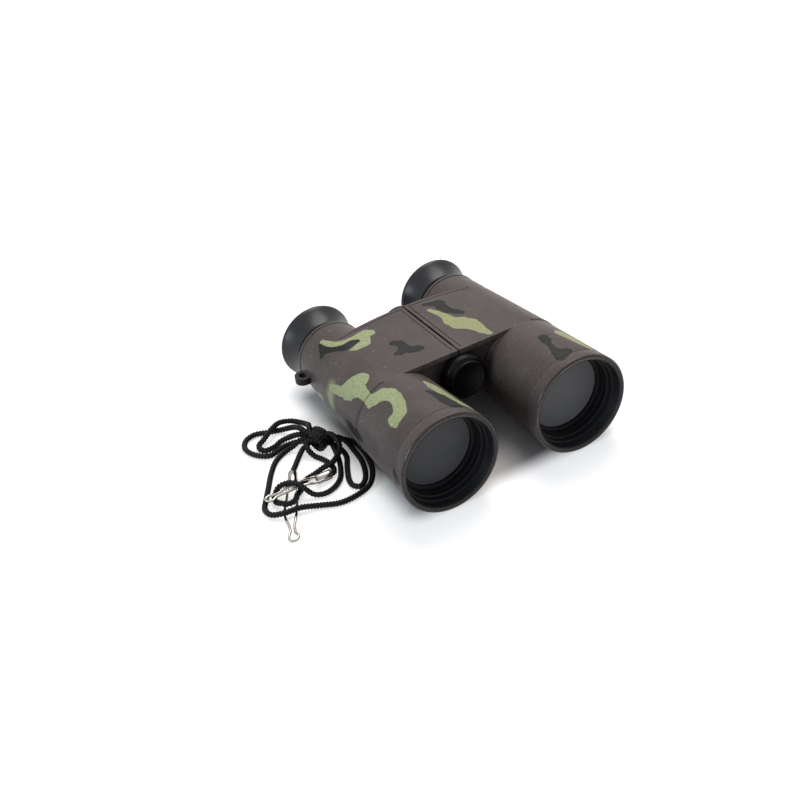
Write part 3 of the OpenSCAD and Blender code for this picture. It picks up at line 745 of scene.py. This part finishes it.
def smoothCurve(route, step, samples=16):
    # a centripetal curve through the route, then points at even steps along it
    dense = []
    for i in range(len(route) - 1):
        b, c = route[i], route[i + 1]
        a = route[i - 1] if i else b * 2 - c
        d = route[i + 2] if i + 2 < len(route) else c * 2 - b
        t = [0]
        for p, q in ((a, b), (b, c), (c, d)):
            t.append(t[-1] + max((q - p).length, 1e-6) ** 0.5)
        for k in range(samples):
            u = t[1] + (t[2] - t[1]) * k / samples
            ab, bc, cd = (between(a, b, t[0], t[1], u), between(b, c, t[1], t[2], u),
                          between(c, d, t[2], t[3], u))
            abc, bcd = between(ab, bc, t[0], t[2], u), between(bc, cd, t[1], t[3], u)
            dense.append(between(abc, bcd, t[1], t[2], u))
    dense.append(route[-1])
    even, travelled, due = [dense[0]], 0.0, step
    for p, q in zip(dense, dense[1:]):
        piece = (q - p).length
        while travelled + piece >= due:
            even.append(p.lerp(q, (due - travelled) / piece))
            due += step
        travelled += piece
    return even, travelled


def braidedTube(name, line, setup):
    # rings that follow the line without twist, raised into a braid of staggered strands
    sides, radius, rise = setup["sides"], setup["diameter"] / 2, setup["strandRise"]
    verts, faces, crowns = [], [], []
    across = Vector((0, 0, 1)).cross(line[1] - line[0]).normalized()
    for i, point in enumerate(line):
        ahead = (line[min(i + 1, len(line) - 1)] - line[max(i - 1, 0)]).normalized()
        across = (across - ahead * across.dot(ahead)).normalized()
        up = ahead.cross(across)
        row = 2 * pi * i * setup["ringStep"] / setup["strandPitch"]
        for j in range(sides):
            turn = 2 * pi * j / sides
            crowns.append(abs(cos(setup["strandsAround"] * turn) * cos(row)) ** setup["strandRound"])
            reach = radius * (setup["strandSwell"] - rise + rise * crowns[-1])
            vert = point + (across * cos(turn) + up * sin(turn)) * reach
            vert.z = max(vert.z, 0.0)
            verts.append(vert * millimetre)
    last = (len(line) - 1) * sides
    for ring in range(0, last, sides):
        for j in range(sides):
            k = (j + 1) % sides
            faces.append((ring + j, ring + k, ring + sides + k, ring + sides + j))
    faces += [tuple(range(sides - 1, -1, -1)), tuple(range(last, last + sides))]
    mesh = bpy.data.meshes.new(name)
    mesh.from_pydata(verts, [], faces)
    mesh.update()
    mesh.attributes.new("crown", "FLOAT", "POINT").data.foreach_set("value", crowns)
    cord = bpy.data.objects.new(name, mesh)
    bpy.context.scene.collection.objects.link(cord)
    makeActive(cord)
    bpy.ops.object.shade_smooth()
    return cord


cordLine, cordMeasured = smoothCurve(cordRoute(), cordSetup["ringStep"])
neckCord = braidedTube("neck_cord", cordLine, cordSetup)
print("cord length", round(cordMeasured, 1), "mm,", len(neckCord.data.polygons), "faces")

clipSetup = {
    "left": {
        "at": (-73, -2.5, 2), "turn": 242, "seam": 118,
        "wire": [
            (4, -1.75, 0), (8, -2, -0.6), (12, -2.3, -1.45), (23, -2.9, -1.45),
            (32, -0.6, -1.45), (36.6, -0.9, -1.45), (38, 0.2, -1.45), (35.8, 2.7, -1.45),
            (32.8, 1.4, -1.45), (21, 1.7, -1.45), (12, 1.8, -1.45), (8, 1.9, -0.6),
            (4, 1.75, 0)]},
    "right": {
        "at": (-60.5, -11.8, 2), "turn": 180, "seam": -120,
        "wire": [
            (4, -1.75, 0), (8, -1.9, 0.6), (12, -1.6, 1.6), (16, -1.2, 1.7), (20, -1.1, 1.5),
            (24.5, -0.7, 1.1), (27, -1.6, 1), (28.9, 0, 0.95), (27, 1.6, 1), (24.5, 0.7, 1.1),
            (20, 1.1, 1.5), (16, 1.2, 1.7), (12, 1.6, 1.6), (8, 1.9, 0.6), (4, 1.75, 0)]},
    "wireRadius": 0.56,
    "wireRoundness": 5,
    "wireSteps": 10,
    "ferruleRadius": 2.0,
    "ferruleWall": 0.6,
    "ferruleLength": 6.5,
    "ferruleEdge": 0.12,
    "seamWidth": 1.6,
}


def clipPlace(side):
    return (Matrix.Translation(Vector(clipSetup[side]["at"]) * millimetre)
            @ Matrix.Rotation(radians(clipSetup[side]["turn"]), 4, "Z"))


def clipWire(side):
    points = clipSetup[side]["wire"]
    bpy.ops.curve.primitive_bezier_curve_add()
    wire = bpy.context.object
    spline = wire.data.splines[0]
    spline.bezier_points.add(len(points) - 2)
    for knot, p in zip(spline.bezier_points, points):
        knot.co = Vector(p) * millimetre
        knot.handle_left_type = knot.handle_right_type = "AUTO"
    wire.data.bevel_depth = clipSetup["wireRadius"] * millimetre
    wire.data.bevel_resolution = clipSetup["wireRoundness"]
    wire.data.resolution_u = clipSetup["wireSteps"]
    wire.data.use_fill_caps = True
    wire.location = (0, 0, 0)
    makeActive(wire)
    bpy.ops.object.convert(target="MESH")
    wire = bpy.context.object
    wire.data.transform(clipPlace(side))
    bpy.ops.object.shade_smooth()
    return wire


def clipFerrule(side):
    # a short tube, open along one seam, is given its sheet's thickness and rounded edges
    setup = clipSetup
    length, halfSeam = setup["ferruleLength"] * millimetre, setup["seamWidth"] / 2 * millimetre
    bpy.ops.mesh.primitive_cylinder_add(vertices=48, radius=setup["ferruleRadius"] * millimetre, depth=length,
                                        end_fill_type="NOTHING", location=(0, 0, length / 2))
    ferrule = bpy.context.object
    bpy.ops.object.transform_apply()
    selectFaces(ferrule, lambda c, n: c.x < 0 and abs(c.y) < halfSeam)
    bpy.ops.mesh.delete(type="FACE")
    bpy.ops.object.mode_set(mode="OBJECT")
    applyModifier(ferrule, "SOLIDIFY", thickness=setup["ferruleWall"] * millimetre, offset=-1)
    roundEdges(ferrule, setup["ferruleEdge"] * millimetre)
    ferrule.data.transform(clipPlace(side) @ Matrix.Rotation(radians(setup[side]["seam"]), 4, "X")
                           @ Matrix.Rotation(radians(90), 4, "Y"))
    smoothUnder(ferrule, 40)
    return ferrule


for side in ("left", "right"):
    for kind, piece in (("wire", clipWire(side)), ("ferrule", clipFerrule(side))):
        dressPiece(piece, side + "_" + kind, side + "_clip_" + kind, "nickel")
paintPiece(neckCord, "cord")
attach(neckCord, "left_half")
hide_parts("cord_from_left_clip", "cord_outer_loop", "cord_inner_ring", "cord_left_loop",
            "cord_upper_loop", "cord_inner_loop", "cord_to_right_clip", "cord_knot")
print("clips placed")


def dressedCopy(node, width, material, angle=32):
    # the node's own solid with its edges rounded
    makeActive(frame["nodes"][node])
    bpy.ops.object.duplicate()
    piece = bpy.context.object
    piece.parent = None
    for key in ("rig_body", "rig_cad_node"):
        if key in piece:
            del piece[key]
    makeActive(piece)
    bpy.ops.object.mode_set(mode="EDIT")
    bpy.ops.mesh.select_all(action="SELECT")
    bpy.ops.mesh.remove_doubles(threshold=0.002 * millimetre)
    bpy.ops.mesh.dissolve_limited(angle_limit=radians(0.6))
    bpy.ops.object.mode_set(mode="OBJECT")
    roundEdges(piece, width * millimetre, angle)
    smoothUnder(piece, angle)
    applyModifier(piece, "WEIGHTED_NORMAL", keep_sharp=True)
    dressPiece(piece, node + "_finish", node, material)


shellEdges = {"shell": 0.25, "screws": 0.12}  # mm of rounding
for side in ("left", "right"):
    for node in ("upper_shell", "lower_shell"):
        dressedCopy(side + "_" + node, shellEdges["shell"], side + "Paint")
    dressedCopy(side + "_shell_screws", shellEdges["screws"], "steel")
print("shells dressed")


poleRadius = 0.001  # mm: a pole is turned as a tiny ring, and merged afterwards


def turnedPiece(name, profile, closed=True, sides=144, edge=0.0, smooth=35):
    # a ring of points extruded and scaled along a profile of (radius, y), with y along local z
    start = max(profile[0][0], poleRadius)
    bpy.ops.mesh.primitive_circle_add(vertices=sides, radius=start, location=(0, 0, profile[0][1]))
    piece = bpy.context.object
    bpy.ops.object.transform_apply()
    bpy.ops.object.mode_set(mode="EDIT")
    bpy.ops.mesh.select_all(action="SELECT")
    radius, height = start, profile[0][1]
    for r, y in profile[1:] + ([profile[0]] if closed else []):
        r = max(r, poleRadius)
        bpy.ops.mesh.extrude_edges_move(TRANSFORM_OT_translate={"value": (0, 0, y - height)})
        bpy.ops.transform.resize(value=(r / radius, r / radius, 1), center_override=(0, 0, y))
        radius, height = r, y
    bpy.ops.mesh.select_all(action="SELECT")
    bpy.ops.mesh.remove_doubles(threshold=4 * poleRadius)
    bpy.ops.mesh.normals_make_consistent()
    bpy.ops.object.mode_set(mode="OBJECT")
    piece.name = name
    if edge:
        roundEdges(piece, edge)
    smoothUnder(piece, smooth)
    return piece


def seatPiece(piece, axisPoint, node, material):
    # local z, in millimetres, is laid along the barrels through a point, and the piece is dressed
    piece.data.transform(Matrix.Translation(axisPoint) @ Matrix.Rotation(-pi / 2 - barrelLean, 4, "X")
                         @ Matrix.Scale(millimetre, 4))
    dressPiece(piece, node + "_finish", node, material)


def seatPair(piece, node, material):
    # one piece on each barrel, each with its own mesh
    makeActive(piece)
    bpy.ops.object.duplicate()
    twin = bpy.context.object
    for copy, side, axisPoint in ((piece, "left", leftAxisPoint), (twin, "right", rightAxisPoint)):
        sidesOwn = side + "Paint" if material == "paint" else material
        seatPiece(copy, axisPoint, side + "_" + node, sidesOwn)


# every profile is a list of (radius, distance from the front rim)
objective = {
    "tube": [
        (19.6, 0.5), (20.35, 0.35), (20.55, 0), (20.95, 0), (21.35, 0.25), (21.6, 0.7), (21.55, 1.6),
        (21.27, 5.7), (21.02, 5.9), (21.02, 6.15), (21.2, 6.35), (19.12, 39.1), (18.9, 39.3), (17.75, 39.3),
        (17.75, 46), (16.25, 46), (16.25, 39.3), (17.6, 14.9), (17.6, 12.9), (19.6, 12.9)],
    "liner": [
        (19.6, 0.6), (19.6, 10.4), (17.15, 10.4), (17.3, 8.6), (17.42, 8.45), (17.5, 6.5), (17.6, 6.4),
        (18.0, 6.3), (18.1, 6.1), (18.33, 4.2), (18.45, 4.1), (18.85, 4.0), (18.95, 3.85), (19.15, 0.75),
        (19.25, 0.6)],
    "retainer": [(19.6, 10.4), (19.6, 11.8), (15.6, 11.8), (15.6, 10.65), (15.68, 10.48), (15.85, 10.4)],
    "lensRadius": 16.2,
    "lensSeat": 19.5,
    "lensBack": 12.9,
    "lensEdge": 11.8,
    "lensCrown": 0.5,
}


def lensProfile(setup, steps=10):
    # a flat back, a cylindrical edge and a slightly domed front
    radius, edge, crown = setup["lensRadius"], setup["lensEdge"], setup["lensCrown"]
    front = [(radius * i / steps, edge - crown * (1 - (i / steps) ** 2)) for i in range(steps, -1, -1)]
    return [(0, setup["lensBack"]), (setup["lensSeat"], setup["lensBack"]), (setup["lensSeat"], edge)] + front


for node, profile, slot, material, options in (
        ("objective_tube", objective["tube"], "painted_shell", "paint", {"edge": 0.08}),
        ("objective_liner", objective["liner"], "matte_black", "mattBlack", {}),
        ("objective_retainer", objective["retainer"], "matte_black", "mattBlack", {"edge": 0.05}),
        ("objective_lens", lensProfile(objective), "lens_glass", "lens", {"closed": False})):
    seatPair(turnedPiece(node, profile, **options), node, material)
print("objectives turned")

eyepiece = {
    "cell": [
        (7.2, 86.5), (11.4, 86.5), (11.7, 86.8), (11.7, 96.6), (11.55, 96.75), (11.55, 96.95), (11.7, 97.1),
        (11.7, 98.7), (11.5, 98.9), (10.5, 98.9), (10.5, 104.3), (8.4, 104.3), (8.4, 100.8), (7.2, 100.8)],
    "lensRadius": 7.3,
    "lensSeat": 8.35,
    "lensBack": 100.8,
    "lensEdge": 103.3,
    "lensCrown": -0.9,
    "ring": [
        (7.5, 103.3), (8.35, 103.3), (8.35, 104.3), (11.4, 104.3), (11.4, 105.1), (11.1, 105.4), (8.6, 105.4),
        (8.3, 105.3), (7.6, 103.6)],
    "ringSlot": {"out": (8.6, 11.2), "halfWidth": 0.75, "depth": 0.7},
    "ringEdge": 0.05,
}
eyecup = {
    "socket": [(10.55, 99.2), (12.3, 99.2), (12.55, 99.45)],
    "neck": (12.7, 100.4),
    "end": 111.8,
    "radius": 16.55,
    "flare": 1.7,
    "flareEnd": (0.3, 1.9),  # short of the radius and of the end
    # the rounded rim, measured back from the radius and the end
    "rim": [(0.08, 1.4), (0, 1.05), (0.03, 0.7), (0.16, 0.35), (0.4, 0.1), (0.7, 0),
            (1.1, 0), (1.4, 0.12), (1.65, 0.35)],
    "bowl": {"radius": 14.75, "narrows": 2.6, "start": 0.6, "depth": 5.2, "round": 1.6},
    "seat": [(11.75, 105.4), (11.75, 104.0), (10.55, 104.0)],
}


def cupProfile(setup, steps=20, bowlSteps=12):
    # a trumpet outside that swells to a rounded rim, and a shallow bowl inside
    end, radius, bowl = setup["end"], setup["radius"], setup["bowl"]
    (neckRadius, neck), (short, back) = setup["neck"], setup["flareEnd"]
    flare = [(neckRadius + (radius - short - neckRadius) * (i / steps) ** setup["flare"],
              neck + (end - back - neck) * i / steps) for i in range(steps + 1)]
    rim = [(radius - inward, end - behind) for inward, behind in setup["rim"]]
    inside = [(bowl["radius"] - bowl["narrows"] * (1 - (1 - i / bowlSteps) ** bowl["round"]),
               end - bowl["start"] - bowl["depth"] * i / bowlSteps) for i in range(bowlSteps + 1)]
    return setup["socket"] + flare + rim + inside + setup["seat"]


seatPair(turnedPiece("cell", eyepiece["cell"]), "eyepiece_cell", "mattBlack")
ocular = turnedPiece("ocular", lensProfile(eyepiece, steps=8), closed=False)
seatPair(ocular, "ocular_lens", "ocular")
# two spanner slots in the face of the ring
ocularRing, spanner = turnedPiece("ring", eyepiece["ring"]), eyepiece["ringSlot"]
selectFaces(ocularRing, lambda c, n: n.z > 0.95 and abs(c.y) < spanner["halfWidth"]
            and spanner["out"][0] < abs(c.x) < spanner["out"][1])
bpy.ops.mesh.extrude_region_move(TRANSFORM_OT_translate={"value": (0, 0, -spanner["depth"])})
bpy.ops.object.mode_set(mode="OBJECT")
roundEdges(ocularRing, eyepiece["ringEdge"])
smoothUnder(ocularRing, 35)
seatPair(ocularRing, "ocular_ring", "mattBlack")
seatPair(turnedPiece("cup", cupProfile(eyecup), smooth=50), "eyecup", "cupBlack")
print("eyepieces turned")

hinge = {
    "cap": [
        (0, 33.7), (7.2, 33.7), (7.45, 33.5), (7.75, 33.52), (7.98, 33.68), (8.1, 33.95), (8.12, 34.4),
        (8.3, 34.55), (8.8, 34.68), (9.2, 34.95), (9.5, 35.4), (9.72, 36), (9.8, 36.6), (9.8, 38.8),
        (9.6, 39), (0, 39)],
    "frontWasher": [(3.05, 39), (8.65, 39), (8.8, 39.15), (8.8, 40.85), (8.65, 41), (3.05, 41)],
    "rearWasher": [(3.05, 81.9), (7.65, 81.9), (7.8, 82.05), (7.8, 83.75), (7.65, 83.9), (3.05, 83.9)],
    "knob": [
        (0, 83.9), (8.2, 83.9), (8.4, 84.1), (8.4, 84.8), (8.4, 88.1), (8.4, 88.6), (8.2, 89.3), (7.7, 89.8),
        (6.9, 90), (4.9, 90), (4.6, 89.9), (4.3, 89.5), (0, 89.45)],
    "grip": (84.9, 88),
    "grooves": 48,
    "grooveInset": 0.06,
    "grooveDepth": 0.32,
}


def isGroove(centre, normal):
    # every other facet around the grip
    facet = round(atan2(centre.y, centre.x) / (pi / hinge["grooves"]) - 0.5)
    return abs(normal.z) < 0.2 and hinge["grip"][0] < centre.z < hinge["grip"][1] and facet % 2 == 0


cap = turnedPiece("cap", hinge["cap"], closed=False, smooth=50)
seatPiece(cap, hingeAxisPoint, "front_cap", "hingeBlack")
for place in ("front", "rear"):
    washer = turnedPiece("washer", hinge[place + "Washer"])
    seatPiece(washer, hingeAxisPoint, place + "_washer", "mattBlack")
knob = turnedPiece("knob", hinge["knob"], closed=False, sides=hinge["grooves"] * 2)
selectFaces(knob, isGroove)
bpy.ops.mesh.inset(thickness=hinge["grooveInset"], depth=-hinge["grooveDepth"], use_individual=True)
smoothUnder(knob, 35)
seatPiece(knob, hingeAxisPoint, "rear_knob", "glossBlack")
paintPiece(frame["nodes"]["hinge_axle"], "steel")
print("hinge turned")

stageSetup = {
    "floorSize": 6.0,
    "floorColour": (0.925, 0.898, 0.88, 1),  # as seen
    "floorBounce": (0.335, 0.322, 0.308, 1),  # what the floor throws back onto the object
    "glow": 0.62,
    # the floor keeps its shadow inside a rounded box, in metres, and glows outside it
    "shadowMiddle": (0, -0.0035, 0),
    "shadowHalf": (0.041, 0.0435, 0),
    "shadowFade": 0.012,
    "farGlow": (0.25, 0.9, 0.4),  # from and to this distance, this much more
    "worldColour": (0.84, 0.92, 1.0, 1),
    "worldStrength": 0.2,
    "lamps": {
        "keyLamp": {"place": (0.34, 0.42, 0.9), "aim": (0, 0, 0), "size": 0.7, "power": 7.2,
                    "colour": (1.0, 0.955, 0.92)},
        "windowLamp": {"place": (-0.85, -0.15, 0.3), "aim": (0, 0, 0.02), "size": 0.35, "power": 3.0,
                       "colour": (0.74, 0.87, 1.0)},
    },
}


def seenDirectly(tree):
    # rays from the camera, and those that metal and glass send on
    rays = addNode("LightPath", {}, tree).outputs
    seen = calc("MAXIMUM", rays["Is Camera Ray"], rays["Is Glossy Ray"])
    return calc("MAXIMUM", seen, rays["Is Transmission Ray"])


def addFloor(setup):
    bpy.ops.mesh.primitive_plane_add(size=setup["floorSize"], location=(0, 0, 0))
    floor = bpy.context.object
    floor.name = "floor"
    paper, tree = newMaterial("floorPaper", Roughness=0.9, Specular_IOR_Level=0.0)
    seen = seenDirectly(tree)
    setSurface(paper, Base_Color=blendColour(seen, setup["floorBounce"], setup["floorColour"]))
    spot = addNode("TexCoord", {}, tree).outputs["Object"]
    away = vectorCalc("ABSOLUTE", vectorCalc("SUBTRACT", spot, setup["shadowMiddle"]))
    beyond = vectorCalc("MAXIMUM", vectorCalc("SUBTRACT", away, setup["shadowHalf"]), (0, 0, 0))
    strength = ramp(vectorCalc("LENGTH", beyond), 0, setup["shadowFade"], 0, setup["glow"])
    near, far, more = setup["farGlow"]
    strength = calc("ADD", strength, ramp(vectorCalc("LENGTH", spot), near, far, 0, more))
    clear, glow = (addNode("Emission", {"Strength": value}, tree).outputs[0] for value in (0.0, strength))
    either = addNode("MixShader", {0: seen, 1: clear, 2: glow}).outputs[0]
    both = addNode("AddShader", {0: tree.nodes["Principled BSDF"].outputs[0], 1: either}).outputs[0]
    feed(tree.nodes["Material Output"], {"Surface": both})
    floor.data.materials.append(paper)


def addLamp(name, place, aim, size, power, colour):
    bpy.ops.object.light_add(type="AREA", location=place)
    lamp = bpy.context.object
    lamp.name = name
    lamp.data.size = size
    lamp.data.energy = power
    lamp.data.color = colour
    lamp.rotation_euler = (Vector(aim) - Vector(place)).to_track_quat("-Z", "Y").to_euler()


def lightWorld(setup):
    world = bpy.context.scene.world or bpy.data.worlds.new("studio")
    bpy.context.scene.world = world
    world.use_nodes = True
    sky = world.node_tree
    air = feed(sky.nodes["Background"], {"Color": setup["worldColour"], "Strength": setup["worldStrength"]})
    backdrop = addNode("Background", {"Color": (1, 1, 1, 1), "Strength": 1.0}, sky)
    chosen = addNode("MixShader", {0: seenDirectly(sky), 1: air.outputs[0], 2: backdrop.outputs[0]})
    feed(sky.nodes["World Output"], {"Surface": chosen.outputs[0]})


addFloor(stageSetup)
for name, lamp in stageSetup["lamps"].items():
    addLamp(name, **lamp)
lightWorld(stageSetup)
bpy.context.scene.view_settings.view_transform = "Standard"
print("stage lit")
